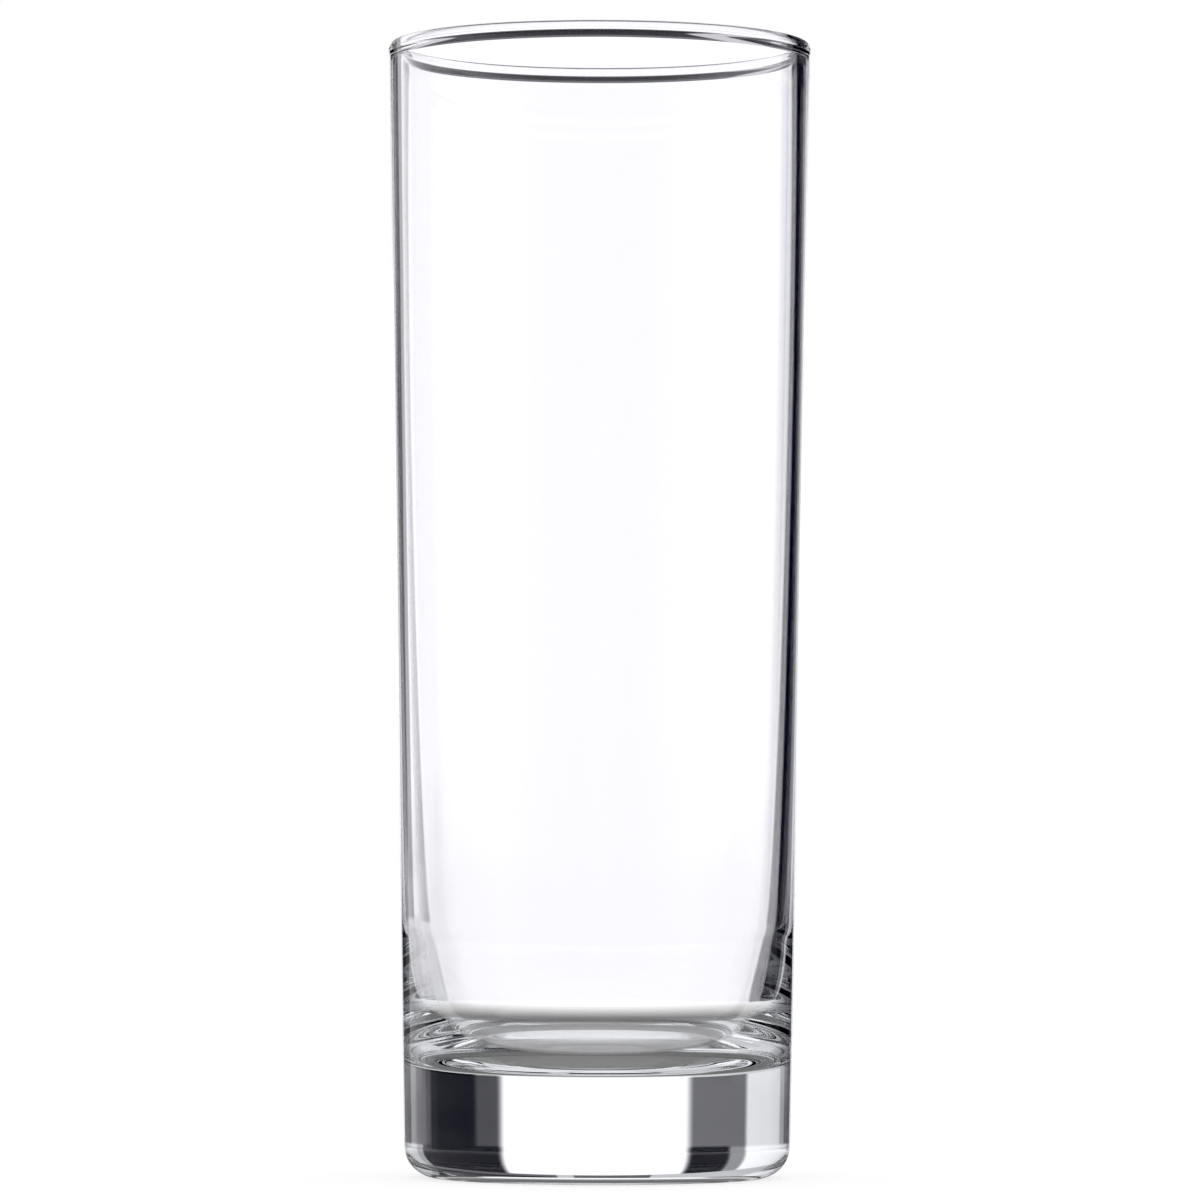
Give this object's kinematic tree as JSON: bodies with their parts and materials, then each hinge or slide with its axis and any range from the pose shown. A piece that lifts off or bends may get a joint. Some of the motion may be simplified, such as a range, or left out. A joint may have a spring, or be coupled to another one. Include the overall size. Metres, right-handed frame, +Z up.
{
  "type": "highball glass",
  "caption": "Tall clear glass tumbler for long drinks, with straight, slightly widening sides, a thick solid base and a rounded rim.",
  "frame": {"origin": "centre of the glass on the plane that its foot ring rests on", "axes": "+Z up, along the axis of revolution, from the foot to the open rim"},
  "size_m": [0.0598, 0.0598, 0.16],
  "materials": {
    "clear_glass": "clear, colourless soda-lime glass, smooth and fire-polished, very faintly grey-green where it is thick"
  },
  "bodies": {
    "root": {"tumbler": "clear_glass"}
  },
  "joints": []
}
